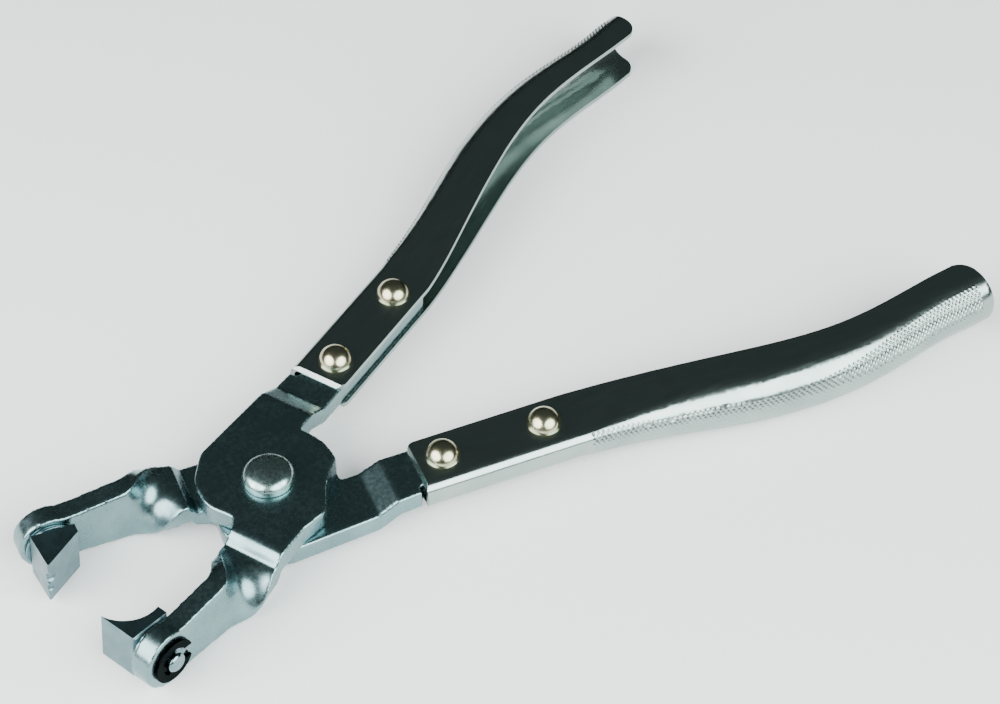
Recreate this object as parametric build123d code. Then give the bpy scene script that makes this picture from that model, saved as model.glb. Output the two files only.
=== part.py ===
from build123d import *
import os
from math import acos, atan, cos, pi, radians, sin, sqrt, tan

# Hose clamp pliers, in millimetres.
# Each arm is designed in its own arm frame: the pivot axis is Z, the handle points along +X,
# the outer side of the handle is +Y, and Z = 0 is the plane where the two arms lap.
# Both arms start as one stamping, and the wedge arm is turned over about X. Only the bend of
# the jaw ends differs.
# In the assembly +X bisects the handles, and the origin is on the pivot axis, on the flat
# underside of the pivot rivet.

# Pose and running fits
HANDLE_HALF_ANGLE = 18.1        # each handle axis from the X axis, with the pliers part open
LAP_GAP = 0.04                  # play between the lapped head plates
RUNNING_CLEARANCE = 0.05        # radial play of a pin or rivet that something turns on
FACE_CLEARANCE = 0.05           # axial play beside a part that turns
SEAT_CLEARANCE = 0.02           # radial play of a rivet shank that is fixed in its hole
OVERRUN = 1.0                   # how far a cutting tool runs past what it cuts

# Arm stamping
PLATE = 4.4                     # thickness of the stamped plate
HEAD_RADIUS = 13.8              # round flank of the head, about the pivot
TAIL_INNER_EDGE = 1.9           # inner edge of the tail, from the handle axis through the pivot
TAIL_WIDTH = 11.4               # width of the tail in front of the channel
TAIL_SHOULDER = 26.6            # the tail narrows here, to fit inside the channel
TAIL_END = 59.0                 # end of the tail, from the pivot
TAIL_JOGGLE = 17.4              # where the tail starts to step to mid level
TAIL_JOGGLE_RUN = 4.5           # length of that step
NECK_JOGGLE = 14.4              # where the neck starts to step to mid level
NECK_JOGGLE_RUN = 1.8
STEP_ROUND = 3.0                # each step is rounded over at its top by this radius
CREST_FINDER = 0.01             # corners this close to the top of the plate are the steps' crests
NECK_OFFSET = 6.8               # middle of the neck, from the pivot
NECK_WIDTH = 12.1
CORNER_RADIUS = 1.2             # small corners of the stamping

# Head outline, as shares of the head radius
CROWN_SHARES = ((-0.11, 1.10), (-0.62, 0.86), (-0.86, 0.46), (-0.83, 0.02))
CROWN_RADIUS_SHARES = (0.25, 0.55, 0.45, 0.10)
NECK_CORNER_SHARE = -0.97       # inner neck edge meets the crown here
FLANK_SHARES = ((-0.09, -1.02), (0.30, -0.77), (0.43, -0.70))
FLANK_RADIUS_SHARES = (0.20, 0.15, 0.10)
FLANK_END_SHARE = 0.60          # depth of the corner where the round flank ends

# Twisted neck and jaw strip
TWIST_START = 16.4
TWIST_END = 27.4
TWIST_STATIONS = 9
QUARTER_TURN = 90.0
STRIP_ROOT_HEIGHT = 12.8        # height of the strip where the twist ends
STRIP_WAIST = 36.8              # narrowest place of the strip, from the pivot
STRIP_WAIST_HEIGHT = 11.2
# The strips are bent to suit their jaws: how far each leans in from the handle axis, in degrees,
# and its pin axis in the eye, back from the pivot and off the handle axis
STRIP_LEAN = {"cradle": 8.0, "wedge": 3.0}
EYE_CENTRE = {"cradle": (41.7, 4.8), "wedge": (42.7, 6.7)}
EYE_RADIUS = 6.3

# Pivot rivet
PIVOT_RADIUS = 3.5
PIVOT_HEAD_RADIUS = 5.2
PIVOT_HEAD_RIM = 0.5            # straight side of the head, before it is rounded over
PIVOT_HEAD_ROUND = 2.3          # rounded shoulder of the head
PIVOT_DOME_SLOPE = 18.0         # slope of the dome where the shoulder starts, in degrees
PIVOT_FOOT_RADIUS = 5.0
PIVOT_FOOT_HEIGHT = 1.9
PIVOT_FOOT_CHAMFER = 0.4

# Handle channel, of sheet steel
SHEET = 1.0
HANDLE_START = 27.5             # front edge of the channel, from the pivot
HANDLE_STRAIGHT_END = 60.0      # the channel starts to bow and grow here
HANDLE_END = 153.6              # far end of the channel's back
END_SLANT = 15.0                # the far end is cut square to the grip there, in degrees
HANDLE_DEPTH = 12.6             # from the back of the channel to its open side
HANDLE_BEND = 2.4               # outer bend radius at the front
BACK_STEP = 0.6                 # the back of the channel stands out this far beyond the tail in front
BACK_CLEARANCE = 1.4            # between the inside of the channel's back and the tail
GRIP_HALF_HEIGHT = 6.4          # half the height of the channel at the grip
GRIP_SWELL = 5.5                # how far the back of the grip bows out
FRONT_BEVEL = (0.6, 0.9)        # length and depth of the bevel on the front edges of the flanges
FRONT_CORNER_RADIUS = 1.8       # rounded corners at the open side of the front
HANDLE_CORNER_RADIUS = 4.0      # rounded corners at the open side of the far end
# Sections of the bowed length: place along it, bow of the back as a share of the swell,
# growth of the height and of the bend radius from front to grip, and depth
HANDLE_SECTION_SHARES = (
    (0.00, 0.00, 0.00, 1.000),
    (0.08, 0.09, 0.18, 0.975),
    (0.18, 0.27, 0.48, 0.935),
    (0.28, 0.55, 0.74, 0.930),
    (0.40, 0.87, 0.93, 0.930),
    (0.52, 1.00, 1.00, 0.890),
    (0.64, 0.89, 1.00, 0.845),
    (0.77, 0.44, 1.00, 0.800),
    (0.89, -0.06, 1.00, 0.780),
    (1.00, -0.38, 0.97, 0.800),
)

# Handle rivets
RIVET_PLACES = {"front": 33.4, "rear": 54.9}
RIVET_RADIUS = 2.0
RIVET_HEAD_RADIUS = 3.55
RIVET_HEAD_HEIGHT = 3.0

# Swivel pins
PIN_RADIUS = 2.75
PIN_STUB_RADIUS = 2.4           # end that is pressed into the jaw
PIN_STUB_LENGTH = 2.6
COLLAR_RADIUS = 5.2
COLLAR_THICKNESS = 0.7
GROOVE_RADIUS = 1.5
PIN_TIP_RADIUS = 2.0            # end beyond the clip groove
PIN_TIP_LENGTH = 0.9
PIN_TIP_CHAMFER = 0.4

# E-clips
CLIP_THICKNESS = 0.7
CLIP_RADIUS = 4.65
CLIP_POCKET_RADIUS = 2.9
CLIP_LUG_WIDTH = 1.5
CLIP_MOUTH = 2.7
CLIP_LUG_ANGLES = (-75.0, 0.0, 75.0)

# Jaw blocks
JAW_WIDTH = 8.8
JAW_HEIGHT = 10.2
JAW_TALL_SIDE = 8.5             # tip side of the block, above the collar
JAW_SHORT_SIDE = 2.5            # pivot side of the block, above the collar
JAW_EDGE = 0.4                  # small bevel round the back of the block
SEAT_RADIUS = 7.2               # hollow seat of the cradle jaw
SEAT_DEPTH = 2.2                # depth of the seat below the line of its horns
HORN_FLAT = 0.6
RIDGE_INSET = 0.8               # ridge of the wedge, in from the tip side
RIDGE_RADIUS = 0.3
NOTCHES = ((0.9, 1.35), (-1.9, 0.95))   # height on the ridge and radius of each notch
CRADLE_TILT = -7.0              # how far each jaw has swivelled, in degrees
WEDGE_TILT = 5.0

TAIL_OUTER_EDGE = TAIL_INNER_EDGE + TAIL_WIDTH
HANDLE_BACK = TAIL_OUTER_EDGE + BACK_STEP
TONGUE_OUTER_EDGE = HANDLE_BACK - SHEET - BACK_CLEARANCE
RIVET_LINE = (TAIL_INNER_EDGE + TONGUE_OUTER_EDGE) / 2
FRONT_HALF_HEIGHT = PLATE / 2 + SHEET
NECK_INNER_EDGE = -NECK_OFFSET + NECK_WIDTH / 2
NECK_OUTER_EDGE = -NECK_OFFSET - NECK_WIDTH / 2
PLATE_TOP = LAP_GAP / 2 + PLATE
FOOT_TOP = PLATE_TOP + FACE_CLEARANCE
LIFT = FOOT_TOP + PIVOT_FOOT_HEIGHT


def stamping_outline() -> Sketch:
    """Plan outline of the head, tail and neck, before the jaw end is twisted."""
    crown = [(x * HEAD_RADIUS, y * HEAD_RADIUS) for x, y in CROWN_SHARES]
    flank = [(x * HEAD_RADIUS, y * HEAD_RADIUS) for x, y in FLANK_SHARES]
    neck_corner = NECK_CORNER_SHARE * HEAD_RADIUS
    flank_y = -FLANK_END_SHARE * HEAD_RADIUS
    flank_x = sqrt(HEAD_RADIUS**2 - flank_y**2)
    root_x = sqrt(HEAD_RADIUS**2 - TAIL_INNER_EDGE**2)
    points = [
        (TAIL_END, TAIL_INNER_EDGE),
        (TAIL_END, TONGUE_OUTER_EDGE),
        (TAIL_SHOULDER, TONGUE_OUTER_EDGE),
        (TAIL_SHOULDER, TAIL_OUTER_EDGE),
        *crown,
        (neck_corner, NECK_INNER_EDGE),
        (-TWIST_START, NECK_INNER_EDGE),
        (-TWIST_START, NECK_OUTER_EDGE),
        (-HEAD_RADIUS / 2, NECK_OUTER_EDGE),
        *flank,
        (flank_x, flank_y),
    ]
    radii = [
        CORNER_RADIUS,
        0,
        0,
        *(share * HEAD_RADIUS for share in CROWN_RADIUS_SHARES),
        CORNER_RADIUS,
        0,
        0,
        0,
        *(share * HEAD_RADIUS for share in FLANK_RADIUS_SHARES),
    ]
    edge = FilletPolyline(*points, radius=radii)
    round_flank = ThreePointArc((flank_x, flank_y), (HEAD_RADIUS, 0), (root_x, TAIL_INNER_EDGE))
    tail_edge = Line((root_x, TAIL_INNER_EDGE), (TAIL_END, TAIL_INNER_EDGE))
    return make_face(edge.edges() + [round_flank, tail_edge])


def sheet_profile() -> Sketch:
    """Side view of the plate: head on its own level, tail and neck stepped to mid level."""
    top = [
        (TAIL_END + OVERRUN, PLATE / 2),
        (TAIL_JOGGLE + TAIL_JOGGLE_RUN, PLATE / 2),
        (TAIL_JOGGLE, PLATE_TOP),
        (-NECK_JOGGLE, PLATE_TOP),
        (-NECK_JOGGLE - NECK_JOGGLE_RUN, PLATE / 2),
        (-TWIST_START - OVERRUN, PLATE / 2),
    ]
    under = [(x, z - PLATE) for x, z in reversed(top)]
    side = make_face(Polyline(*top, *under, close=True))
    crests = [corner for corner in side.vertices() if PLATE_TOP - corner.Y < CREST_FINDER]
    return Plane.XZ * fillet(crests, STEP_ROUND)


def smooth_step(share: float) -> float:
    """Share of a turn or a growth that starts and ends gently."""
    return share * share * (3 - 2 * share)


def twisted_neck(name: str) -> Part:
    """Neck turned a quarter turn about its own length, from flat to upright."""
    eye_x, eye_y = EYE_CENTRE[name]
    strip_lean = radians(STRIP_LEAN[name])
    sections = []
    for station in range(TWIST_STATIONS):
        share = station / (TWIST_STATIONS - 1)
        eased = smooth_step(share)
        back = TWIST_START + share * (TWIST_END - TWIST_START)
        lean = strip_lean * eased
        turn = radians(QUARTER_TURN) * eased
        strip_y = -eye_y - (eye_x - back) * tan(strip_lean)
        centre_y = -NECK_OFFSET + (strip_y + NECK_OFFSET) * eased
        width = NECK_WIDTH + (STRIP_ROOT_HEIGHT - NECK_WIDTH) * eased
        forward = Vector(-cos(lean), sin(lean), 0)
        across = Vector(sin(lean), cos(lean), 0)
        edge_way = across * cos(turn) + Vector(0, 0, 1) * sin(turn)
        plane = Plane(origin=(-back, centre_y, 0), x_dir=edge_way, z_dir=forward)
        sections.append(plane * Rectangle(width, PLATE))
    return loft(sections)


def jaw_plane(name: str) -> Plane:
    """Plane in the middle of the upright strip: X to the tip, Z to the outer side."""
    eye_x, eye_y = EYE_CENTRE[name]
    lean = radians(STRIP_LEAN[name])
    return Plane(origin=(-eye_x, -eye_y, 0), x_dir=(-cos(lean), sin(lean), 0),
                 z_dir=(-sin(lean), -cos(lean), 0))


def jaw_strip(name: str) -> Part:
    """Upright strip, drawn in to a waist, with the round eye at its end."""
    eye_x = EYE_CENTRE[name][0]
    root = (TWIST_END - eye_x) / cos(radians(STRIP_LEAN[name]))
    waist = (STRIP_WAIST - eye_x) / cos(radians(STRIP_LEAN[name]))
    side = Polyline(
        (root, -STRIP_ROOT_HEIGHT / 2),
        (waist, -STRIP_WAIST_HEIGHT / 2),
        (0, -STRIP_WAIST_HEIGHT / 2),
        (0, STRIP_WAIST_HEIGHT / 2),
        (waist, STRIP_WAIST_HEIGHT / 2),
        (root, STRIP_ROOT_HEIGHT / 2),
        close=True,
    )
    outline = make_face(side) + Circle(EYE_RADIUS)
    outline -= Circle(PIN_RADIUS + RUNNING_CLEARANCE)
    return extrude(jaw_plane(name) * outline, PLATE / 2, both=True)


def arm(name: str, pivot_bore: float) -> Part:
    """Arm stamping in its arm frame, with its bores."""
    reach = HANDLE_DEPTH + HEAD_RADIUS
    sheet = extrude(sheet_profile(), reach, both=True)
    blank = sheet & extrude(stamping_outline(), reach, both=True)
    body = blank + twisted_neck(name) + jaw_strip(name)
    body -= Cylinder(pivot_bore, 2 * reach)
    for place in RIVET_PLACES.values():
        body -= Pos(place, RIVET_LINE, 0) * Cylinder(RIVET_RADIUS + SEAT_CLEARANCE, 2 * PLATE)
    return body


def channel_section(x: float, back: float, depth: float, half_height: float, bend: float) -> Sketch:
    """Cross-section of the handle channel: closed back outside, open towards the other handle."""
    mouth = back - depth
    inner = half_height - SHEET
    inner_bend = bend - SHEET
    shoulder = back - bend
    diagonal = sqrt(2) / 2
    outline = [
        Line((mouth, half_height), (shoulder, half_height)),
        ThreePointArc((shoulder, half_height),
                      (shoulder + bend * diagonal, half_height - bend + bend * diagonal),
                      (back, half_height - bend)),
        Line((back, half_height - bend), (back, bend - half_height)),
        ThreePointArc((back, bend - half_height),
                      (shoulder + bend * diagonal, bend - half_height - bend * diagonal),
                      (shoulder, -half_height)),
        Line((shoulder, -half_height), (mouth, -half_height)),
        Line((mouth, -half_height), (mouth, -inner)),
        Line((mouth, -inner), (shoulder, -inner)),
        ThreePointArc((shoulder, -inner),
                      (shoulder + inner_bend * diagonal, inner_bend - inner - inner_bend * diagonal),
                      (back - SHEET, inner_bend - inner)),
        Line((back - SHEET, inner_bend - inner), (back - SHEET, inner - inner_bend)),
        ThreePointArc((back - SHEET, inner - inner_bend),
                      (shoulder + inner_bend * diagonal, inner - inner_bend + inner_bend * diagonal),
                      (shoulder, inner)),
        Line((shoulder, inner), (mouth, inner)),
        Line((mouth, inner), (mouth, half_height)),
    ]
    return Plane(origin=(x, 0, 0), x_dir=(0, 1, 0), z_dir=(1, 0, 0)) * make_face(outline)


def corner_nick(radius: float) -> Part:
    """What rounds a corner of both flanges that lies at the origin, inside -X and +Y."""
    square = Pos((OVERRUN - radius) / 2, (radius - OVERRUN) / 2) * Rectangle(radius + OVERRUN, radius + OVERRUN)
    square -= Pos(-radius, radius) * Circle(radius)
    return extrude(square, 2 * GRIP_HALF_HEIGHT, both=True)


def end_cut(length: float) -> Part:
    """What cuts the far end square to the grip there, with rounded corners at the open side."""
    edges = []
    for along, bow, _, depth in HANDLE_SECTION_SHARES[-2:]:
        back = HANDLE_BACK + bow * GRIP_SWELL
        edges.append((along * length, back, back - depth * HANDLE_DEPTH))
    (near_x, _, near_mouth), (far_x, back, far_mouth) = edges
    slant = radians(END_SLANT)
    fall = atan((near_mouth - far_mouth) / (far_x - near_x))
    depth = back - far_mouth
    reach = depth * cos(slant) + (HANDLE_CORNER_RADIUS + depth * sin(slant)) * tan(slant - fall)
    beyond = Pos(HANDLE_DEPTH / 2, 0) * Rectangle(HANDLE_DEPTH, 4 * HANDLE_DEPTH)
    cutter = extrude(beyond, 2 * GRIP_HALF_HEIGHT, both=True)
    cutter += Pos(0, -reach, 0) * corner_nick(HANDLE_CORNER_RADIUS)
    return Pos(HANDLE_END, back, 0) * Rot(0, 0, -END_SLANT) * cutter


def front_bevels() -> Part:
    """What bevels the front edges of both flanges."""
    run, drop = FRONT_BEVEL
    slope = drop / run
    upper = Polyline((HANDLE_START - OVERRUN, FRONT_HALF_HEIGHT - drop - slope * OVERRUN),
                     (HANDLE_START + run + OVERRUN, FRONT_HALF_HEIGHT + slope * OVERRUN),
                     (HANDLE_START - OVERRUN, FRONT_HALF_HEIGHT + slope * OVERRUN), close=True)
    wedge = extrude(Plane.XZ * make_face(upper), 2 * HANDLE_BACK, both=True)
    return wedge + mirror(wedge, Plane.XY)


def handle() -> Part:
    """Handle channel: straight and square where it holds the tail, bowed and round at the grip."""
    length = HANDLE_END - HANDLE_STRAIGHT_END
    sections = []
    for along, bow, growth, depth in HANDLE_SECTION_SHARES:
        half_height = FRONT_HALF_HEIGHT + growth * (GRIP_HALF_HEIGHT - FRONT_HALF_HEIGHT)
        bend = HANDLE_BEND + growth * (GRIP_HALF_HEIGHT - SHEET / 2 - HANDLE_BEND)
        back = HANDLE_BACK + bow * GRIP_SWELL
        sections.append(channel_section(HANDLE_STRAIGHT_END + along * length, back,
                                        depth * HANDLE_DEPTH, half_height, bend))
    front = channel_section(HANDLE_START, HANDLE_BACK, HANDLE_DEPTH, FRONT_HALF_HEIGHT, HANDLE_BEND)
    body = extrude(front, HANDLE_STRAIGHT_END - HANDLE_START) + loft(sections)
    body -= front_bevels()
    front_nick = mirror(corner_nick(FRONT_CORNER_RADIUS), Plane.YZ)
    body -= Pos(HANDLE_START, HANDLE_BACK - HANDLE_DEPTH, 0) * front_nick
    body -= end_cut(length)
    for place in RIVET_PLACES.values():
        body -= Pos(place, RIVET_LINE, 0) * Cylinder(RIVET_RADIUS + SEAT_CLEARANCE, 4 * PLATE)
    return body


def domed_half(shank: float, seat: float, radius: float, height: float) -> Sketch:
    """Half section of a rivet's upper half: shank, and a domed head seated at a height."""
    top = seat + height
    ball = (radius**2 + height**2) / (2 * height)
    half_turn = acos((ball - height) / ball) / 2
    middle = (ball * sin(half_turn), top - ball + ball * cos(half_turn))
    lines = [
        Line((0, 0), (shank, 0)),
        Line((shank, 0), (shank, seat)),
        Line((shank, seat), (radius, seat)),
        ThreePointArc((radius, seat), middle, (0, top)),
        Line((0, top), (0, 0)),
    ]
    return Plane.XZ * make_face(lines)


def pivot_half() -> Sketch:
    """Half section of the pivot rivet's shank and head: straight rim, round shoulder, slight dome."""
    slope = radians(PIVOT_DOME_SLOPE)
    rim_top = PLATE_TOP + PIVOT_HEAD_RIM
    round_x = PIVOT_HEAD_RADIUS - PIVOT_HEAD_ROUND
    half_round = (pi / 2 - slope) / 2
    on_round = (round_x + PIVOT_HEAD_ROUND * cos(half_round), rim_top + PIVOT_HEAD_ROUND * sin(half_round))
    join = (round_x + PIVOT_HEAD_ROUND * sin(slope), rim_top + PIVOT_HEAD_ROUND * cos(slope))
    ball = join[0] / sin(slope)
    top = join[1] + ball * (1 - cos(slope))
    on_dome = (ball * sin(slope / 2), top - ball + ball * cos(slope / 2))
    lines = [
        Line((0, 0), (PIVOT_RADIUS, 0)),
        Line((PIVOT_RADIUS, 0), (PIVOT_RADIUS, PLATE_TOP)),
        Line((PIVOT_RADIUS, PLATE_TOP), (PIVOT_HEAD_RADIUS, PLATE_TOP)),
        Line((PIVOT_HEAD_RADIUS, PLATE_TOP), (PIVOT_HEAD_RADIUS, rim_top)),
        ThreePointArc((PIVOT_HEAD_RADIUS, rim_top), on_round, join),
        ThreePointArc(join, on_dome, (0, top)),
        Line((0, top), (0, 0)),
    ]
    return Plane.XZ * make_face(lines)


def handle_rivet(place: float) -> Part:
    """Rivet through the channel and the tail, domed at both ends."""
    half = revolve(domed_half(RIVET_RADIUS, FRONT_HALF_HEIGHT, RIVET_HEAD_RADIUS, RIVET_HEAD_HEIGHT))
    return Pos(place, RIVET_LINE, 0) * (half + mirror(half, Plane.XY))


def pivot_rivet() -> Part:
    """Pivot rivet: slightly domed head with a rounded shoulder above, flat chamfered foot below."""
    upper = revolve(pivot_half())
    foot_middle = -FOOT_TOP - PIVOT_FOOT_HEIGHT / 2
    foot = Pos(0, 0, foot_middle) * Cylinder(PIVOT_FOOT_RADIUS, PIVOT_FOOT_HEIGHT)
    foot = chamfer(foot.edges().group_by(Axis.Z)[0], PIVOT_FOOT_CHAMFER)
    shank = Pos(0, 0, -FOOT_TOP / 2) * Cylinder(PIVOT_RADIUS, FOOT_TOP)
    return upper + shank + foot


def swivel_pin() -> Part:
    """Collared pin along Z: stub in the jaw below, journal and clip groove above the collar.

    Z = 0 is the strip's inner face.
    """
    collar_top = -FACE_CLEARANCE
    collar_bottom = collar_top - COLLAR_THICKNESS
    groove_start = PLATE + FACE_CLEARANCE
    groove_end = groove_start + CLIP_THICKNESS + FACE_CLEARANCE
    tip = groove_end + PIN_TIP_LENGTH
    profile = Polyline(
        (0, collar_bottom - PIN_STUB_LENGTH),
        (PIN_STUB_RADIUS, collar_bottom - PIN_STUB_LENGTH),
        (PIN_STUB_RADIUS, collar_bottom),
        (COLLAR_RADIUS, collar_bottom),
        (COLLAR_RADIUS, collar_top),
        (PIN_RADIUS, collar_top),
        (PIN_RADIUS, groove_start),
        (GROOVE_RADIUS, groove_start),
        (GROOVE_RADIUS, groove_end),
        (PIN_TIP_RADIUS, groove_end),
        (PIN_TIP_RADIUS, tip - PIN_TIP_CHAMFER),
        (PIN_TIP_RADIUS - PIN_TIP_CHAMFER, tip),
        (0, tip),
        close=True,
    )
    return revolve(Plane.XZ * make_face(profile))


def e_clip() -> Part:
    """E-clip in the pin's groove: three lugs on a ring that is open to the pivot side."""
    ring = Circle(CLIP_RADIUS) - Circle(CLIP_POCKET_RADIUS)
    for angle in CLIP_LUG_ANGLES:
        lug = Pos(CLIP_POCKET_RADIUS, 0) * Rectangle(2 * (CLIP_POCKET_RADIUS - GROOVE_RADIUS), CLIP_LUG_WIDTH)
        ring += Rot(0, 0, angle) * (lug & Circle(CLIP_RADIUS))
    ring -= Circle(GROOVE_RADIUS + SEAT_CLEARANCE)
    ring -= Pos(-CLIP_RADIUS, 0) * Rectangle(2 * CLIP_RADIUS, CLIP_MOUTH)
    seat = PLATE + FACE_CLEARANCE + FACE_CLEARANCE / 2
    return Pos(0, 0, seat) * extrude(ring, CLIP_THICKNESS)


def jaw_blank(profile: Sketch) -> Part:
    """Jaw block from its plan profile, with the seat for the pin's stub."""
    back = -FACE_CLEARANCE - COLLAR_THICKNESS
    block = extrude(Plane.XZ * profile, JAW_HEIGHT / 2, both=True)
    block = chamfer(block.edges().group_by(Axis.Z)[-1], JAW_EDGE)
    bore_middle = back - PIN_STUB_LENGTH / 2
    return block - Pos(0, 0, bore_middle) * Cylinder(PIN_STUB_RADIUS, PIN_STUB_LENGTH)


def cradle_jaw() -> Part:
    """Jaw with the hollow seat, cut into a face that slopes from a tall tip side to a short one."""
    back = -FACE_CLEARANCE - COLLAR_THICKNESS
    half = JAW_WIDTH / 2
    tall = (half, back - JAW_TALL_SIDE)
    short = (-half, back - JAW_SHORT_SIDE)
    profile = make_face(Polyline((-half, back), (half, back), tall,
                                 (half - HORN_FLAT, back - JAW_TALL_SIDE), short, close=True))
    chord = Vector(*short) - Vector(*tall)
    middle = (Vector(*short) + Vector(*tall)) / 2
    outward = Vector(chord.Y, -chord.X).normalized()
    if outward.Y > 0:
        outward = -outward
    centre = middle + outward * (SEAT_RADIUS - SEAT_DEPTH)
    profile -= Pos(centre.X, centre.Y) * Circle(SEAT_RADIUS)
    return jaw_blank(profile)


def wedge_jaw() -> Part:
    """Jaw with the sharp ridge: upright on the tip side, sloped to the pivot side, two notches."""
    back = -FACE_CLEARANCE - COLLAR_THICKNESS
    half = JAW_WIDTH / 2
    ridge = (half - RIDGE_INSET, back - JAW_TALL_SIDE)
    edge = FilletPolyline((-half, back - JAW_SHORT_SIDE), ridge, (half, back), radius=RIDGE_RADIUS)
    sides = Polyline((half, back), (-half, back), (-half, back - JAW_SHORT_SIDE))
    block = jaw_blank(make_face(edge.edges() + sides.edges()))
    for height, radius in NOTCHES:
        notch = Rot(0, QUARTER_TURN, 0) * Cylinder(radius, 4 * JAW_WIDTH)
        block -= Pos(0, height, back - JAW_TALL_SIDE) * notch
    return block


def swivelled(name: str, tilt: float) -> Location:
    """Place of a jaw's own frame in the arm frame, turned about its pin."""
    plane = jaw_plane(name)
    inner_face = Plane(origin=plane.origin - plane.z_dir * (PLATE / 2), x_dir=plane.x_dir, z_dir=plane.z_dir)
    return Location(inner_face) * Rot(0, 0, tilt)


def cradle_side(shape: Part) -> Part:
    """From the arm frame to the assembly, for the arm whose plate is on top."""
    return Pos(0, 0, LIFT) * Rot(0, 0, HANDLE_HALF_ANGLE) * shape


def wedge_side(shape: Part) -> Part:
    """From the arm frame to the assembly, for the arm that is turned over."""
    return Pos(0, 0, LIFT) * Rot(0, 0, -HANDLE_HALF_ANGLE) * Rot(180, 0, 0) * shape


def build_parts() -> dict:
    """Every piece in its place in the assembly, by node name."""
    parts = {
        "cradle_arm": cradle_side(arm("cradle", PIVOT_RADIUS + SEAT_CLEARANCE)),
        "wedge_arm": wedge_side(arm("wedge", PIVOT_RADIUS + RUNNING_CLEARANCE)),
        "pivot_rivet": Pos(0, 0, LIFT) * pivot_rivet(),
    }
    jaws = {"cradle": (cradle_side, cradle_jaw, CRADLE_TILT), "wedge": (wedge_side, wedge_jaw, WEDGE_TILT)}
    for name, (place_side, make_jaw, tilt) in jaws.items():
        parts[f"{name}_handle"] = place_side(handle())
        for rivet, place in RIVET_PLACES.items():
            parts[f"{name}_{rivet}_rivet"] = place_side(handle_rivet(place))
        seat = swivelled(name, tilt)
        parts[f"{name}_jaw"] = place_side(seat * make_jaw())
        parts[f"{name}_pin"] = place_side(seat * swivel_pin())
        parts[f"{name}_clip"] = place_side(seat * e_clip())
    return parts


def main() -> None:
    os.makedirs("parts", exist_ok=True)
    for name, shape in build_parts().items():
        shape.label = name
        export_step(shape, f"parts/{name}.step")


if __name__ == "__main__":
    main()
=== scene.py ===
import logging
from abc import ABC, abstractmethod
from dataclasses import dataclass
from enum import Enum
from math import ceil, cos, radians, sin

import bmesh
import bpy
from mathutils import Matrix, Vector


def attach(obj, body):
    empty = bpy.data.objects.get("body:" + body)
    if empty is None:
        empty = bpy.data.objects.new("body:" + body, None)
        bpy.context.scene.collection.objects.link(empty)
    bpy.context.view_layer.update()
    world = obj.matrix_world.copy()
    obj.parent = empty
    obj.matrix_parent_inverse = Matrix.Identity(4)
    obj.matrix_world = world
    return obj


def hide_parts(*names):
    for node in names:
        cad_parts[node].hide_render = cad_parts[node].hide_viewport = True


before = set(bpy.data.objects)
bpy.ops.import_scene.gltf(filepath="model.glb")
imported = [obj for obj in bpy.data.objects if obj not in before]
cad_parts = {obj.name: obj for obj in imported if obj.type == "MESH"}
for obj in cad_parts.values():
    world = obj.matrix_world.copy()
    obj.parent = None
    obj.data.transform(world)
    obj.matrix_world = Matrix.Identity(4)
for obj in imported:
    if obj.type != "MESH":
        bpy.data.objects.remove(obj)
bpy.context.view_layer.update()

LOG = logging.getLogger("hose_clamp_pliers")
MM = 0.001
PHOTO_WIDTH_PX = 1000
SENSOR_WIDTH_MM = 36.0
HALF_ANGLE_DEG = 18.1           # each handle axis from the X axis
LAP_HEIGHT_MM = 6.37            # the plane where the two arms lap, above the origin


class Side(Enum):
    """The two levers: the upper one carries the cradle jaw, the lower one the wedge jaw."""

    CRADLE = "cradle"
    WEDGE = "wedge"

    @property
    def sign(self) -> int:
        """Side of the X axis that the handle lies on."""
        return 1 if self is Side.CRADLE else -1

    @property
    def lever(self) -> str:
        """Name of the CAD body of the arm and handle."""
        return f"{self.value}_lever"

    @property
    def swivel(self) -> str:
        """Name of the CAD body of the jaw."""
        return f"{self.value}_swivel"

    def from_arm(self, x: float, y: float, z: float) -> Vector:
        """Turn a place in the arm's own frame, in mm, into the row frame, in metres.

        Args:
            x: Along the handle, from the pivot.
            y: Outwards from the handle's axis.
            z: Above the lap plane.

        Returns:
            The place in the row frame.
        """
        turn = radians(HALF_ANGLE_DEG)
        along = x * cos(turn) - y * sin(turn)
        out = x * sin(turn) + y * cos(turn)
        return Vector((along, self.sign * out, LAP_HEIGHT_MM + z)) * MM


def linear(hex_colour: str) -> tuple[float, float, float, float]:
    """Turn an sRGB hex colour into linear RGBA, by the sRGB curve.

    Args:
        hex_colour: Six hex digits after a hash.

    Returns:
        Red, green, blue and an alpha of one.
    """
    values = []
    for start in (1, 3, 5):
        share = int(hex_colour[start:start + 2], 16) / 255
        values.append(share / 12.92 if share <= 0.04045 else ((share + 0.055) / 1.055) ** 2.4)
    return (*values, 1.0)


def add_node(tree: bpy.types.NodeTree, kind: str, settings: dict | None = None,
             inputs: dict | None = None) -> bpy.types.Node:
    """Add one node with its settings and inputs.

    Args:
        tree: Tree that gets the node.
        kind: Type name of the node.
        settings: Attributes of the node.
        inputs: What each input gets, by socket name or number: a value, or the output that feeds it.

    Returns:
        The new node.
    """
    node = tree.nodes.new(kind)
    for name, setting in (settings or {}).items():
        setattr(node, name, setting)
    for name, source in (inputs or {}).items():
        if isinstance(source, bpy.types.NodeSocket):
            tree.links.new(source, node.inputs[name])
        else:
            node.inputs[name].default_value = source
    return node


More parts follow.
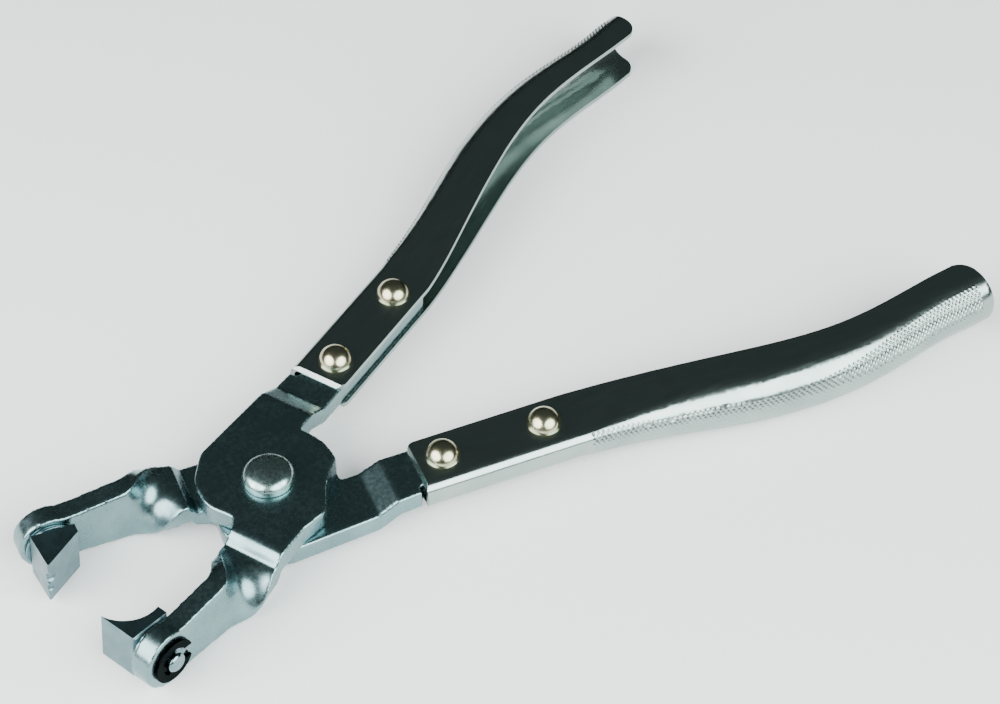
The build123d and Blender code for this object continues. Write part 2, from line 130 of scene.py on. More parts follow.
@dataclass(frozen=True)
class MetalFinish:
    """A bare or plated metal surface: two close tones, a clouded sheen, fine marks and dents."""

    name: str
    bright: str
    dull: str
    smoothest: float
    roughest: float
    cloud_mm: float
    mark_mm: float
    mark_stretch: float             # how much longer than wide the marks are
    mark_depth_mm: float
    dent_mm: float                  # from dent to dent
    dent_depth_mm: float
    rim: str = "#FFFFFF"            # tint of the sheen at a glancing view
    cloud_detail: float = 4.0
    mark_detail: float = 3.0
    tone_span: tuple[float, float] = (0.32, 0.68)   # cloud levels where the dull tone starts and is full
    worn_span: tuple[float, float] = (0.12, 0.40)   # levels of clouds times marks, smoothest to roughest
    dent_shares: tuple[float, float] = (0.02, 0.12)  # radii of a dent's floor and rim, of its spacing

    def tone(self, tree: bpy.types.NodeTree, clouds: bpy.types.NodeSocket) -> bpy.types.NodeSocket:
        """Mix the two tones in clouds.

        Args:
            tree: Tree that gets the nodes.
            clouds: Level of the clouds.

        Returns:
            The colour.
        """
        share = add_node(tree, "ShaderNodeMapRange", inputs={
            "Value": clouds, "From Min": self.tone_span[0], "From Max": self.tone_span[1]})
        mixed = add_node(tree, "ShaderNodeMix", {"data_type": "RGBA"}, {
            "Factor": share.outputs["Result"], "A": linear(self.bright), "B": linear(self.dull)})
        return mixed.outputs["Result"]

    def roughness(self, tree: bpy.types.NodeTree, clouds: bpy.types.NodeSocket,
                  marks: bpy.types.NodeSocket) -> bpy.types.NodeSocket:
        """Make the surface rougher where the clouds and the marks are strong.

        Args:
            tree: Tree that gets the nodes.
            clouds: Level of the clouds.
            marks: Level of the fine marks.

        Returns:
            The roughness.
        """
        worn = add_node(tree, "ShaderNodeMath", {"operation": "MULTIPLY"}, {0: clouds, 1: marks})
        rough = add_node(tree, "ShaderNodeMapRange", inputs={
            "Value": worn.outputs["Value"], "From Min": self.worn_span[0], "From Max": self.worn_span[1],
            "To Min": self.smoothest, "To Max": self.roughest})
        return rough.outputs["Result"]

    def relief(self, tree: bpy.types.NodeTree, place: bpy.types.NodeSocket,
               marks: bpy.types.NodeSocket) -> bpy.types.NodeSocket:
        """Press the marks and the dents into the surface.

        Args:
            tree: Tree that gets the nodes.
            place: Object coordinates.
            marks: Level of the fine marks.

        Returns:
            The normal.
        """
        cells = add_node(tree, "ShaderNodeTexVoronoi", inputs={
            "Vector": place, "Scale": 1 / (self.dent_mm * MM)})
        dents = add_node(tree, "ShaderNodeMapRange", {"interpolation_type": "SMOOTHSTEP"}, {
            "Value": cells.outputs["Distance"], "From Min": self.dent_shares[0],
            "From Max": self.dent_shares[1]})
        marked = add_node(tree, "ShaderNodeBump", inputs={
            "Strength": 1.0, "Distance": self.mark_depth_mm * MM, "Height": marks})
        dented = add_node(tree, "ShaderNodeBump", inputs={
            "Strength": 1.0, "Distance": self.dent_depth_mm * MM, "Height": dents.outputs["Result"],
            "Normal": marked.outputs["Normal"]})
        return dented.outputs["Normal"]

    def material(self, turn_deg: float = 0.0) -> bpy.types.Material:
        """Build the node material.

        Args:
            turn_deg: Direction of the fine marks in the XY plane.

        Returns:
            The material.
        """
        material = bpy.data.materials.new(self.name)
        material.use_nodes = True
        tree = material.node_tree
        place = add_node(tree, "ShaderNodeTexCoord").outputs["Object"]
        clouds = add_node(tree, "ShaderNodeTexNoise", inputs={
            "Vector": place, "Scale": 1 / (self.cloud_mm * MM), "Detail": self.cloud_detail})
        turned = add_node(tree, "ShaderNodeMapping", {"vector_type": "TEXTURE"}, {
            "Vector": place, "Rotation": (0, 0, radians(turn_deg)), "Scale": (self.mark_stretch, 1, 1)})
        marks = add_node(tree, "ShaderNodeTexNoise", inputs={
            "Vector": turned.outputs["Vector"], "Scale": 1 / (self.mark_mm * MM),
            "Detail": self.mark_detail})
        cloud_level, mark_level = clouds.outputs["Fac"], marks.outputs["Fac"]
        shader = tree.nodes["Principled BSDF"]
        shader.inputs["Metallic"].default_value = 1.0
        shader.inputs["Specular Tint"].default_value = linear(self.rim)
        tree.links.new(self.tone(tree, cloud_level), shader.inputs["Base Color"])
        tree.links.new(self.roughness(tree, cloud_level, mark_level), shader.inputs["Roughness"])
        tree.links.new(self.relief(tree, place, mark_level), shader.inputs["Normal"])
        return material


# Tumbled steel plate under bright plating: a dark mirror from above, pale and cool where it
# catches the floor, with the small dents that the tumbling leaves.
ARM_PLATING = MetalFinish(
    name="tumbled_steel_plate_bright_plated", bright="#7F9A9D", dull="#718C90",
    smoothest=0.22, roughest=0.32, cloud_mm=6.0, mark_mm=0.8, mark_stretch=1.0,
    mark_depth_mm=0.004, dent_mm=7.0, dent_depth_mm=0.008)

# Cold-rolled sheet under the same plating: smoother and paler than the arms, with faint
# lengthwise rolling lines, drawn coarser than real ones so that they show.
HANDLE_PLATING = MetalFinish(
    name="rolled_sheet_steel_bright_plated", bright="#A6B5B1", dull="#97A6A2",
    smoothest=0.16, roughest=0.25, cloud_mm=9.0, mark_mm=0.5, mark_stretch=14.0,
    mark_depth_mm=0.002, dent_mm=11.0, dent_depth_mm=0.006)

# Upset head of the pivot rivet, plated: brighter than the plates round it, with a mottled
# sheen from the hammering that closed it.
PIVOT_PLATING = MetalFinish(
    name="upset_rivet_steel_bright_plated", bright="#B2CBC9", dull="#85A3A1",
    smoothest=0.20, roughest=0.34, cloud_mm=1.1, mark_mm=0.7, mark_stretch=1.0,
    mark_depth_mm=0.012, dent_mm=2.4, dent_depth_mm=0.02)

# Yellow-passivated steel rivets: smooth domes with a brassy cast.
RIVET_PLATING = MetalFinish(
    name="domed_rivet_steel_yellow_passivated", bright="#C4C1A4", dull="#AFAB8C",
    smoothest=0.18, roughest=0.27, cloud_mm=1.5, mark_mm=0.6, mark_stretch=1.0,
    mark_depth_mm=0.004, dent_mm=4.0, dent_depth_mm=0.01)

# Sintered and machined jaw block, plated: an even satin, so that its faces read as flat tones.
JAW_PLATING = MetalFinish(
    name="machined_jaw_steel_plated", bright="#6C868C", dull="#607A80",
    smoothest=0.26, roughest=0.38, cloud_mm=3.0, mark_mm=0.4, mark_stretch=1.0,
    mark_depth_mm=0.006, dent_mm=4.0, dent_depth_mm=0.02)

# Turned pin of bright drawn steel: a small clear highlight in the middle of the dark clip.
PIN_STEEL = MetalFinish(
    name="turned_pin_steel_bright", bright="#7C9499", dull="#6C8489",
    smoothest=0.18, roughest=0.28, cloud_mm=1.5, mark_mm=0.3, mark_stretch=1.0,
    mark_depth_mm=0.004, dent_mm=3.0, dent_depth_mm=0.01)

# Spring steel clip with a black oxide skin: nearly black, with a dull oily sheen.
CLIP_BLACK = MetalFinish(
    name="spring_steel_black_oxide", bright="#050607", dull="#030405",
    smoothest=0.22, roughest=0.32, cloud_mm=1.2, mark_mm=0.3, mark_stretch=1.0,
    mark_depth_mm=0.004, dent_mm=3.0, dent_depth_mm=0.01, rim="#C8CCCC")


def plain_object(name: str, mesh: bpy.types.Mesh) -> bpy.types.Object:
    """Link a mesh into the scene as an object at the origin.

    Args:
        name: Name of the object.
        mesh: Its mesh.

    Returns:
        The object.
    """
    made = bpy.data.objects.new(name, mesh)
    bpy.context.scene.collection.objects.link(made)
    return made


def baked(draft: bpy.types.Object) -> bpy.types.Mesh:
    """Turn a draft with live modifiers into one plain mesh, and remove the draft.

    Args:
        draft: Object whose modifiers are evaluated.

    Returns:
        The evaluated mesh, with nothing live on it.
    """
    bpy.context.view_layer.update()
    graph = bpy.context.evaluated_depsgraph_get()
    mesh = bpy.data.meshes.new_from_object(draft.evaluated_get(graph), depsgraph=graph)
    bpy.data.objects.remove(draft)
    return mesh


def dress(node: str, finish: MetalFinish) -> bpy.types.Object:
    """Give a CAD node that keeps its own mesh its finish.

    Args:
        node: Name of the node.
        finish: Finish of its surface.

    Returns:
        The node's object.
    """
    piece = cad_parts[node]
    piece.data.materials.clear()
    piece.data.materials.append(finish.material())
    LOG.info("%s: CAD mesh dressed as %s", node, finish.name)
    return piece


@dataclass
class WornPiece(ABC):
    """A CAD node shown through a copy with softer edges."""

    node: str
    slot: str
    finish: MetalFinish
    turn_deg: float = 0.0           # direction of the finish's marks
    weld_mm: float = 0.002          # corners closer than this are one
    level_deg: float = 0.4          # faces closer in direction than this are one

    def merged_mesh(self) -> bpy.types.Mesh:
        """Copy the node's mesh with its doubles merged and its flat faces joined.

        Returns:
            The copy, shaded smooth.
        """
        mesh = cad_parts[self.node].data.copy()
        if "custom_normal" in mesh.attributes:
            mesh.attributes.remove(mesh.attributes["custom_normal"])
        shape = bmesh.new()
        shape.from_mesh(mesh)
        bmesh.ops.remove_doubles(shape, verts=shape.verts, dist=self.weld_mm * MM)
        bmesh.ops.dissolve_limit(
            shape, angle_limit=radians(self.level_deg), verts=shape.verts, edges=shape.edges,
            use_dissolve_boundaries=False)
        for face in shape.faces:
            face.smooth = True
        shape.to_mesh(mesh)
        shape.free()
        return mesh

    @abstractmethod
    def soften(self, draft: bpy.types.Object) -> None:
        """Put the modifiers that soften the edges on a draft.

        Args:
            draft: Object with the merged mesh.
        """

    def build(self, body: str) -> bpy.types.Object:
        """Make the softened piece and let it stand for the node.

        Args:
            body: CAD body that it rides on.

        Returns:
            The finished piece.
        """
        draft = plain_object(f"{self.node}_draft", self.merged_mesh())
        self.soften(draft)
        shading = draft.modifiers.new("flat_faces_first", "WEIGHTED_NORMAL")
        shading.keep_sharp = True
        mesh = baked(draft)
        mesh.name = f"{self.node}_shell"
        mesh.materials.clear()
        mesh.materials.append(self.finish.material(self.turn_deg))
        piece = plain_object(f"{self.node}_shell", mesh)
        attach(piece, body)
        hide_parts(self.node)
        LOG.info("%s: %d faces, %s", piece.name, len(mesh.polygons), self.finish.name)
        return piece


@dataclass
class SoftEdged(WornPiece):
    """A piece with the small rounds that pressing and plating leave on its edges."""

    round_mm: float = 0.16
    sharp_deg: float = 32.0         # sharper corners than this are rounded
    steps: int = 2

    def soften(self, draft: bpy.types.Object) -> None:
        """Put the modifier that rounds the edges on a draft.

        Args:
            draft: Object with the merged mesh.
        """
        rounding = draft.modifiers.new("edge_round", "BEVEL")
        rounding.width = self.round_mm * MM
        rounding.segments = self.steps
        rounding.limit_method = "ANGLE"
        rounding.angle_limit = radians(self.sharp_deg)
        rounding.use_clamp_overlap = True


@dataclass
class Tumbled(WornPiece):
    """A piece worn soft all over, as a part that was tumbled before plating."""

    grain_mm: float = 0.32          # size of the faces that the wear is worked out on
    wear_share: float = 0.5         # how far a step moves a corner towards its neighbours
    wear_steps: int = 12
    flat_deg: float = 0.6           # worn faces closer in direction than this are joined again

    def soften(self, draft: bpy.types.Object) -> None:
        """Put the modifiers that wear the edges on a draft.

        Args:
            draft: Object with the merged mesh.
        """
        grain = draft.modifiers.new("even_faces", "REMESH")
        grain.mode = "VOXEL"
        grain.voxel_size = self.grain_mm * MM
        grain.use_smooth_shade = True
        wear = draft.modifiers.new("wear", "SMOOTH")
        wear.factor = self.wear_share
        wear.iterations = self.wear_steps
        joined = draft.modifiers.new("flat_faces_joined", "DECIMATE")
        joined.decimate_type = "DISSOLVE"
        joined.angle_limit = radians(self.flat_deg)


@dataclass
class ArmStamping:
    """One flat arm with its twisted neck and eye."""

    side: Side

    def build(self) -> bpy.types.Object:
        """Wear and dress the arm."""
        return Tumbled(f"{self.side.value}_arm", "arm_plating", ARM_PLATING).build(self.side.lever)


@dataclass
class Knurl:
    """Diamond knurl rolled into the back of the grip.

    The diamonds stand on points that a ray finds on the channel, so they follow its bow.
    """

    side: Side
    pitch_mm: float = 1.05          # along the grip, as in the photograph
    row_mm: float = 0.56            # from row to row, round the back
    cycle_rows: float = 2.0         # rows until the stagger repeats, and rows that a diamond spans
    stagger_share: float = 0.5      # of the pitch, from one row to the next
    corners: int = 4
    foot_share: float = 0.5         # radii of a diamond's foot and top, as shares of its length
    top_share: float = 0.12
    height_mm: float = 0.12
    sunk_mm: float = 0.05           # how far the foot of each diamond is under the surface
    first_deg: float = -46.0        # lowest and highest row, round the back
    last_deg: float = 32.0
    climb_deg: float = 34.0         # how far the rows climb round the back towards the grip's end
    climb_start_mm: float = 100.0
    climb_end_mm: float = 140.0
    start_mm: float = 63.0
    end_mm: float = 150.5
    reach_mm: float = 24.0          # from the spine out to where the rays start, clear of the back
    spine_depth_mm: float = 6.0     # from the back of the channel in to the spine
    spine: tuple[tuple[float, float], ...] = (
        (60.0, 7.9), (67.5, 8.4), (76.6, 9.4), (86.0, 10.9), (97.4, 12.7), (108.6, 13.4), (119.8, 12.8),
        (131.9, 10.3), (143.0, 7.6), (153.6, 5.8))

    def spine_mesh(self) -> bpy.types.Mesh:
        """Draw the line that keeps one depth under the channel's back.

        Returns:
            The line, as a mesh of edges.
        """
        mesh = bpy.data.meshes.new("grip_spine")
        points = [self.side.from_arm(x, y, 0) for x, y in self.spine]
        mesh.from_pydata(points, [(i, i + 1) for i in range(len(points) - 1)], [])
        return mesh

    def sizes(self) -> dict[str, float | int]:
        """Work out the sizes that the node tree is given.

        Returns:
            Lengths in metres, angles in radians and whole counts, by the names of the tree's inputs.
        """
        spine_start = self.spine[0][0]
        row_angle = self.row_mm / self.spine_depth_mm
        return {
            "Pitch": self.pitch_mm * MM,
            "Row Spacing": self.row_mm * MM,
            "Row Angle": row_angle,
            "First Angle": radians(self.first_deg),
            "Start": (self.start_mm - spine_start) * MM,
            "Climb": radians(self.climb_deg),
            "Climb Start": (self.climb_start_mm - spine_start) * MM,
            "Climb End": (self.climb_end_mm - spine_start) * MM,
            "Height": self.height_mm * MM,
            "Sunk": self.sunk_mm * MM,
            "Reach": self.reach_mm * MM,
            "Outward": -float(self.side.sign),
            "Rows": int(radians(self.last_deg - self.first_deg) / row_angle) + 1,
            "Diamonds": ceil((self.end_mm - self.start_mm) / self.pitch_mm),
        }

    def named_inputs(self, tree: bpy.types.NodeTree) -> dict[str, bpy.types.NodeSocket]:
        """Give the tree its named inputs and its output.

        Args:
            tree: Tree that gets them.

        Returns:
            The sockets that hand the inputs on, by name.
        """
        kinds = {"Spine": "NodeSocketGeometry", "Channel": "NodeSocketObject",
                 "Finish": "NodeSocketMaterial"}
        for name, size in self.sizes().items():
            kinds[name] = "NodeSocketInt" if isinstance(size, int) else "NodeSocketFloat"
        for name, kind in kinds.items():
            tree.interface.new_socket(name, in_out="INPUT", socket_type=kind)
        tree.interface.new_socket("Knurl", in_out="OUTPUT", socket_type="NodeSocketGeometry")
        return {socket.name: socket for socket in add_node(tree, "NodeGroupInput").outputs}

    def places(self, tree: bpy.types.NodeTree, given: dict[str, bpy.types.NodeSocket]
               ) -> tuple[bpy.types.NodeSocket, bpy.types.NodeSocket]:
        """Work out where each diamond stands in its row, every other row half a pitch further on.

        Args:
            tree: Tree that gets the nodes.
            given: The tree's inputs, by name.

        Returns:
            The length along the spine, and the angle round it.
        """
        index = add_node(tree, "GeometryNodeInputIndex").outputs["Index"]
        row = add_node(tree, "ShaderNodeMath", {"operation": "MODULO"}, {0: index, 1: given["Rows"]})
        along = add_node(tree, "ShaderNodeMath", {"operation": "DIVIDE"}, {0: index, 1: given["Rows"]})
        step = add_node(tree, "ShaderNodeMath", {"operation": "FLOOR"}, {0: along.outputs["Value"]})
        odd = add_node(tree, "ShaderNodeMath", {"operation": "MODULO"}, {
            0: row.outputs["Value"], 1: self.cycle_rows})
        staggered = add_node(tree, "ShaderNodeMath", {"operation": "MULTIPLY_ADD"}, {
            0: odd.outputs["Value"], 1: self.stagger_share, 2: step.outputs["Value"]})
        length = add_node(tree, "ShaderNodeMath", {"operation": "MULTIPLY_ADD"}, {
            0: staggered.outputs["Value"], 1: given["Pitch"], 2: given["Start"]})
        climb = add_node(tree, "ShaderNodeMapRange", {"interpolation_type": "SMOOTHSTEP"}, {
            "Value": length.outputs["Value"], "From Min": given["Climb Start"],
            "From Max": given["Climb End"], "To Max": given["Climb"]})
        lowest = add_node(tree, "ShaderNodeMath", {"operation": "ADD"}, {
            0: given["First Angle"], 1: climb.outputs["Result"]})
        angle = add_node(tree, "ShaderNodeMath", {"operation": "MULTIPLY_ADD"}, {
            0: row.outputs["Value"], 1: given["Row Angle"], 2: lowest.outputs["Value"]})
        return length.outputs["Value"], angle.outputs["Value"]

    def way_out(self, tree: bpy.types.NodeTree, given: dict[str, bpy.types.NodeSocket],
                course: bpy.types.NodeSocket, angle: bpy.types.NodeSocket) -> bpy.types.NodeSocket:
        """Work out the direction from the spine to a diamond.

        Args:
            tree: Tree that gets the nodes.
            given: The tree's inputs, by name.
            course: Direction of the spine.
            angle: Angle of the diamond round the spine.

        Returns:
            The direction, of length one.
        """
        level = add_node(tree, "ShaderNodeMath", {"operation": "COSINE"}, {0: angle})
        rise = add_node(tree, "ShaderNodeMath", {"operation": "SINE"}, {0: angle})
        signed = add_node(tree, "ShaderNodeMath", {"operation": "MULTIPLY"}, {
            0: level.outputs["Value"], 1: given["Outward"]})
        sideways = add_node(tree, "ShaderNodeVectorMath", {"operation": "CROSS_PRODUCT"}, {
            0: course, 1: (0, 0, 1)})
        outward = add_node(tree, "ShaderNodeVectorMath", {"operation": "SCALE"}, {
            0: sideways.outputs["Vector"], "Scale": signed.outputs["Value"]})
        upward = add_node(tree, "ShaderNodeCombineXYZ", inputs={"Z": rise.outputs["Value"]})
        way = add_node(tree, "ShaderNodeVectorMath", {"operation": "ADD"}, {
            0: outward.outputs["Vector"], 1: upward.outputs["Vector"]})
        return way.outputs["Vector"]

    def ray_to_back(self, tree: bpy.types.NodeTree, given: dict[str, bpy.types.NodeSocket],
                    spine_point: bpy.types.NodeSocket, way: bpy.types.NodeSocket) -> bpy.types.Node:
        """Find the channel's back by a ray that comes in towards the spine.

        Args:
            tree: Tree that gets the nodes.
            given: The tree's inputs, by name.
            spine_point: Point of the spine under the diamond.
            way: Direction from there to the diamond.

        Returns:
            The node of the ray.
        """
        offset = add_node(tree, "ShaderNodeVectorMath", {"operation": "SCALE"}, {
            0: way, "Scale": given["Reach"]})
        above = add_node(tree, "ShaderNodeVectorMath", {"operation": "ADD"}, {
            0: spine_point, 1: offset.outputs["Vector"]})
        back_way = add_node(tree, "ShaderNodeVectorMath", {"operation": "SCALE"}, {0: way, "Scale": -1.0})
        channel = add_node(tree, "GeometryNodeObjectInfo", inputs={"Object": given["Channel"]})
        return add_node(tree, "GeometryNodeRaycast", inputs={
            "Target Geometry": channel.outputs["Geometry"], "Source Position": above.outputs["Vector"],
            "Ray Direction": back_way.outputs["Vector"], "Ray Length": given["Reach"]})

    def diamond(self, tree: bpy.types.NodeTree, given: dict[str, bpy.types.NodeSocket]
                ) -> bpy.types.NodeSocket:
        """Make one diamond, with a foot as long and as wide as one unit, under the surface.

        Args:
            tree: Tree that gets the nodes.
            given: The tree's inputs, by name.

        Returns:
            The diamond's geometry.
        """
        depth = add_node(tree, "ShaderNodeMath", {"operation": "ADD"}, {
            0: given["Height"], 1: given["Sunk"]})
        cone = add_node(tree, "GeometryNodeMeshCone", inputs={
            "Vertices": self.corners, "Radius Top": self.top_share, "Radius Bottom": self.foot_share,
            "Depth": depth.outputs["Value"]})
        drop = add_node(tree, "ShaderNodeMath", {"operation": "MULTIPLY"}, {0: given["Sunk"], 1: -1.0})
        shift = add_node(tree, "ShaderNodeCombineXYZ", inputs={"Z": drop.outputs["Value"]})
        lowered = add_node(tree, "GeometryNodeTransform", inputs={
            "Geometry": cone.outputs["Mesh"], "Translation": shift.outputs["Vector"]})
        return lowered.outputs["Geometry"]

    def tree(self) -> bpy.types.NodeTree:
        """Build the geometry node tree that lays rows of diamonds on the channel.

        Returns:
            The tree, with its sizes as named inputs.
        """
        tree = bpy.data.node_groups.new("diamond_knurl", "GeometryNodeTree")
        given = self.named_inputs(tree)
        length, angle = self.places(tree, given)
        line = add_node(tree, "GeometryNodeMeshToCurve", inputs={"Mesh": given["Spine"]})
        smooth = add_node(tree, "GeometryNodeCurveSplineType", {"spline_type": "CATMULL_ROM"}, {
            "Curve": line.outputs["Curve"]})
        sample = add_node(tree, "GeometryNodeSampleCurve", {"mode": "LENGTH"}, {
            "Curves": smooth.outputs["Curve"], "Length": length})
        way = self.way_out(tree, given, sample.outputs["Tangent"], angle)
        found = self.ray_to_back(tree, given, sample.outputs["Position"], way)
        missed = add_node(tree, "FunctionNodeBooleanMath", {"operation": "NOT"}, {
            0: found.outputs["Is Hit"]})
        grid = add_node(tree, "GeometryNodeMeshGrid", inputs={
            "Vertices X": given["Diamonds"], "Vertices Y": given["Rows"]})
        caught = add_node(tree, "GeometryNodeCaptureAttribute", inputs={"Geometry": grid.outputs["Mesh"]})
        caught.capture_items.new("VECTOR", "facing")
        caught.capture_items.new("VECTOR", "course")
        caught.capture_items.new("BOOLEAN", "missed")
        tree.links.new(found.outputs["Hit Normal"], caught.inputs["facing"])
        tree.links.new(sample.outputs["Tangent"], caught.inputs["course"])
        tree.links.new(missed.outputs["Boolean"], caught.inputs["missed"])
        laid = add_node(tree, "GeometryNodeSetPosition", inputs={
            "Geometry": caught.outputs["Geometry"], "Position": found.outputs["Hit Position"]})
        clean = add_node(tree, "GeometryNodeDeleteGeometry", {"domain": "POINT"}, {
            "Geometry": laid.outputs["Geometry"], "Selection": caught.outputs["missed"]})
        upright = add_node(tree, "FunctionNodeAlignRotationToVector", {"axis": "Z"}, {
            "Vector": caught.outputs["facing"]})
        aligned = add_node(tree, "FunctionNodeAlignRotationToVector", {"axis": "X", "pivot_axis": "Z"}, {
            "Rotation": upright.outputs["Rotation"], "Vector": caught.outputs["course"]})
        width = add_node(tree, "ShaderNodeMath", {"operation": "MULTIPLY"}, {
            0: given["Row Spacing"], 1: self.cycle_rows})
        spread = add_node(tree, "ShaderNodeCombineXYZ", inputs={
            "X": given["Pitch"], "Y": width.outputs["Value"], "Z": 1.0})
        placed = add_node(tree, "GeometryNodeInstanceOnPoints", inputs={
            "Points": clean.outputs["Geometry"], "Instance": self.diamond(tree, given),
            "Rotation": aligned.outputs["Rotation"], "Scale": spread.outputs["Vector"]})
        real = add_node(tree, "GeometryNodeRealizeInstances", inputs={
            "Geometry": placed.outputs["Instances"]})
        finished = add_node(tree, "GeometryNodeSetMaterial", inputs={
            "Geometry": real.outputs["Geometry"], "Material": given["Finish"]})
        add_node(tree, "NodeGroupOutput", inputs={"Knurl": finished.outputs["Geometry"]})
        return tree

    def build(self, channel: bpy.types.Object, finish: bpy.types.Material) -> bpy.types.Object:
        """Lay the diamonds on one handle.

        Args:
            channel: The handle's finished channel.
            finish: Its material.

        Returns:
            The knurl as one plain mesh that rides on the lever.
        """
        draft = plain_object(f"{self.side.value}_knurl_draft", self.spine_mesh())
        layer = draft.modifiers.new("knurl", "NODES")
        layer.node_group = self.tree()
        given = {"Channel": channel, "Finish": finish, **self.sizes()}
        for item in layer.node_group.interface.items_tree:
            if item.name in given:
                layer[item.identifier] = given[item.name]
        draft.update_tag()
        mesh = baked(draft)
        mesh.name = f"{self.side.value}_knurl"
        piece = plain_object(mesh.name, mesh)
        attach(piece, self.side.lever)
        LOG.info("%s: %d faces in %d rows", piece.name, len(mesh.polygons), given["Rows"])
        return piece


@dataclass
class HandleChannel:
    """One sheet channel handle with its knurled back and its two rivets."""

    side: Side
    round_mm: float = 0.18

    def build(self) -> list[bpy.types.Object]:
        """Make the channel, its knurl and its rivets.

        Returns:
            The pieces.
        """
        shell = SoftEdged(
            f"{self.side.value}_handle", "handle_plating", HANDLE_PLATING,
            turn_deg=self.side.sign * HALF_ANGLE_DEG, round_mm=self.round_mm)
        channel = shell.build(self.side.lever)
        pieces = [channel, Knurl(self.side).build(channel, channel.data.materials[0])]
        for place in ("front", "rear"):
            pieces.append(dress(f"{self.side.value}_{place}_rivet", RIVET_PLATING))
        return pieces


@dataclass
class SwivelJaw:
    """A jaw block with its pin and clip."""

    side: Side
    round_mm: float = 0.16
    pin_round_mm: float = 0.12
    clip_round_mm: float = 0.08

    def build(self) -> list[bpy.types.Object]:
        """Make the block, the pin and the clip.

        Returns:
            The pieces.
        """
        name = self.side.value
        kinds = (
            SoftEdged(f"{name}_jaw", "jaw_plating", JAW_PLATING, round_mm=self.round_mm),
            SoftEdged(f"{name}_pin", "pin_steel", PIN_STEEL, round_mm=self.pin_round_mm),
            SoftEdged(f"{name}_clip", "clip_black", CLIP_BLACK, round_mm=self.clip_round_mm),
        )
        return [kind.build(self.side.swivel) for kind in kinds]


@dataclass
class PivotRivet:
    """The large rivet through both plates, its upset heads rounder than a pressed edge."""

    round_mm: float = 0.5
    sharp_deg: float = 20.0         # sharper corners than this are rounded
    steps: int = 4

    def build(self) -> bpy.types.Object:
        """Round and dress the rivet, which turns with the upper lever.

        Returns:
            The rivet.
        """
        rivet = SoftEdged(
            "pivot_rivet", "pivot_plating", PIVOT_PLATING,
            round_mm=self.round_mm, sharp_deg=self.sharp_deg, steps=self.steps)
        return rivet.build(Side.CRADLE.lever)


@dataclass(frozen=True)
class SoftLamp:
    """A plain soft box beside the camera, with its sizes in metres."""

    name: str
    from_camera_deg: float          # turned round the object, from the camera's own side
    watts: float
    colour: str
    elevation_deg: float = 36.0
    distance: float = 0.75
    width: float = 0.92
    height: float = 0.70

    def build(self, camera_azimuth_deg: float, aim: Vector) -> bpy.types.Object:
        """Make the lamp.

        Args:
            camera_azimuth_deg: The camera's azimuth.
            aim: Point that the lamp faces.

        Returns:
            The lamp.
        """
        turn = radians(camera_azimuth_deg + self.from_camera_deg)
        rise = radians(self.elevation_deg)
        way = Vector((sin(turn) * cos(rise), -cos(turn) * cos(rise), sin(rise)))
        data = bpy.data.lights.new(self.name, "AREA")
        data.shape = "ELLIPSE"
        data.size = self.width
        data.size_y = self.height
        data.energy = self.watts
        data.color = linear(self.colour)[:3]
        lamp = bpy.data.objects.new(self.name, data)
        lamp.location = aim + way * self.distance
        lamp.rotation_mode = "QUATERNION"
        lamp.rotation_quaternion = (-way).to_track_quat("-Z", "Y")
        bpy.context.scene.collection.objects.link(lamp)
        LOG.info("%s: %.0f W", self.name, self.watts)
        return lamp


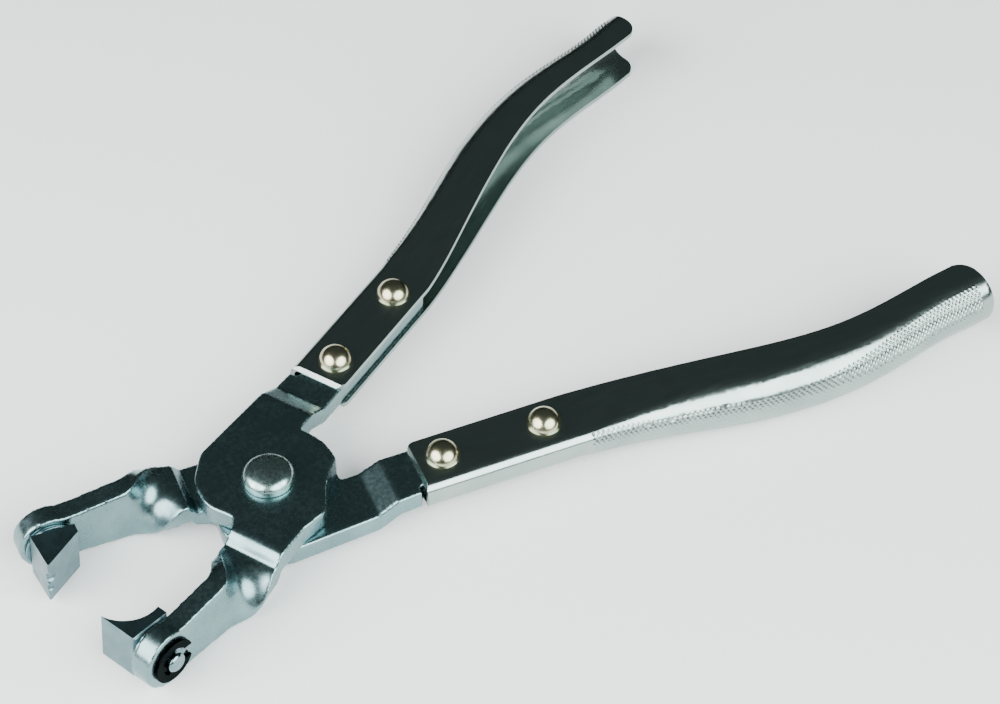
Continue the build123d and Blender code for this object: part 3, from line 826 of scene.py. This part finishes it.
@dataclass
class Studio:
    """Floor, lamps, surroundings and the camera at the photograph's angle."""

    azimuth_deg: float = -40.416
    elevation_deg: float = 47.221
    roll_deg: float = -0.607
    distance_mm: float = 507.03
    aim_mm: tuple[float, float] = (44.52, 27.274)   # right of the pivot and above it, in the picture
    focal_px: float = 2616.4
    clip_m: tuple[float, float] = (0.01, 50.0)
    floor_height_mm: float = -0.45  # just under the lowest edge of the pliers
    floor_width_m: float = 8.0
    floor_tone: str = "#F4F5F5"
    floor_roughness: float = 0.9
    glow_tone: str = "#FFFFFF"      # the floor is lit from within a little, as on a light table
    glow: float = 0.2
    horizon_tone: str = "#1C2221"
    overhead_tone: str = "#434B4A"
    horizon_deg: float = 12.0       # the room turns from one tone to the other between these heights
    overhead_deg: float = 30.0
    lamp_aim_mm: float = 45.0       # from the origin along the X axis, at the height of the lap plane
    lamps: tuple[SoftLamp, ...] = (
        SoftLamp("soft_box_left", from_camera_deg=-58.0, watts=15.0, colour="#FFFFFF"),
        SoftLamp("soft_box_right", from_camera_deg=48.0, watts=14.0, colour="#F4FFFC"),
    )

    def camera(self) -> bpy.types.Object:
        """Make the camera from the fitted view.

        Returns:
            The camera, set as the scene's own.
        """
        angles_deg = (self.azimuth_deg, self.elevation_deg, self.roll_deg)
        azimuth, elevation, roll = (radians(angle) for angle in angles_deg)
        back = Vector((sin(azimuth) * cos(elevation), -cos(azimuth) * cos(elevation), sin(elevation)))
        level = Vector((cos(azimuth), sin(azimuth), 0))
        upright = back.cross(level)
        right = level * cos(roll) + upright * sin(roll)
        up = upright * cos(roll) - level * sin(roll)
        place = right * self.aim_mm[0] + up * self.aim_mm[1] + back * self.distance_mm
        data = bpy.data.cameras.new("photo_camera")
        data.sensor_width = SENSOR_WIDTH_MM
        data.lens = self.focal_px / PHOTO_WIDTH_PX * SENSOR_WIDTH_MM
        data.clip_start, data.clip_end = self.clip_m
        camera = bpy.data.objects.new("photo_camera", data)
        axes = Matrix((right, up, back)).transposed().to_4x4()
        axes.translation = (place + Vector((0, 0, LAP_HEIGHT_MM))) * MM
        camera.matrix_world = axes
        bpy.context.scene.collection.objects.link(camera)
        bpy.context.scene.camera = camera
        return camera

    def floor(self) -> bpy.types.Object:
        """Make the plain pale floor.

        Returns:
            The floor.
        """
        half = self.floor_width_m / 2
        height = self.floor_height_mm * MM
        mesh = bpy.data.meshes.new("pale_floor")
        corners = [(-half, -half), (half, -half), (half, half), (-half, half)]
        mesh.from_pydata([(x, y, height) for x, y in corners], [], [(0, 1, 2, 3)])
        material = bpy.data.materials.new("pale_matt_floor")
        material.use_nodes = True
        shader = material.node_tree.nodes["Principled BSDF"]
        shader.inputs["Base Color"].default_value = linear(self.floor_tone)
        shader.inputs["Roughness"].default_value = self.floor_roughness
        shader.inputs["Emission Color"].default_value = linear(self.glow_tone)
        shader.inputs["Emission Strength"].default_value = self.glow
        mesh.materials.append(material)
        floor = plain_object("pale_floor", mesh)
        return floor

    def surroundings(self) -> None:
        """Dim room overhead, and darker still along the horizon."""
        world = bpy.data.worlds.new("studio_room")
        world.use_nodes = True
        tree = world.node_tree
        tree.nodes.clear()
        way = add_node(tree, "ShaderNodeTexCoord").outputs["Generated"]
        parts = add_node(tree, "ShaderNodeSeparateXYZ", inputs={"Vector": way})
        height = add_node(tree, "ShaderNodeMapRange", {"interpolation_type": "SMOOTHSTEP"}, {
            "Value": parts.outputs["Z"], "From Min": sin(radians(self.horizon_deg)),
            "From Max": sin(radians(self.overhead_deg))})
        tone = add_node(tree, "ShaderNodeMix", {"data_type": "RGBA"}, {
            "Factor": height.outputs["Result"], "A": linear(self.horizon_tone),
            "B": linear(self.overhead_tone)})
        light = add_node(tree, "ShaderNodeBackground", inputs={"Color": tone.outputs["Result"]})
        add_node(tree, "ShaderNodeOutputWorld", inputs={"Surface": light.outputs["Background"]})
        bpy.context.scene.world = world

    def build(self) -> None:
        """Set up the whole studio."""
        self.camera()
        self.floor()
        self.surroundings()
        aim = Vector((self.lamp_aim_mm, 0.0, LAP_HEIGHT_MM)) * MM
        for lamp in self.lamps:
            lamp.build(self.azimuth_deg, aim)


@dataclass
class HoseClampPliers:
    """The whole pliers, lever by lever."""

    sides: tuple[Side, ...] = (Side.CRADLE, Side.WEDGE)

    def build(self) -> None:
        """Make every piece and dress it."""
        for side in self.sides:
            ArmStamping(side).build()
            HandleChannel(side).build()
            SwivelJaw(side).build()
        PivotRivet().build()


def main() -> None:
    """Build the pliers and the studio."""
    logging.basicConfig(level=logging.INFO, format="%(name)s: %(message)s")
    HoseClampPliers().build()
    Studio().build()


if __name__ == "__main__":
    main()
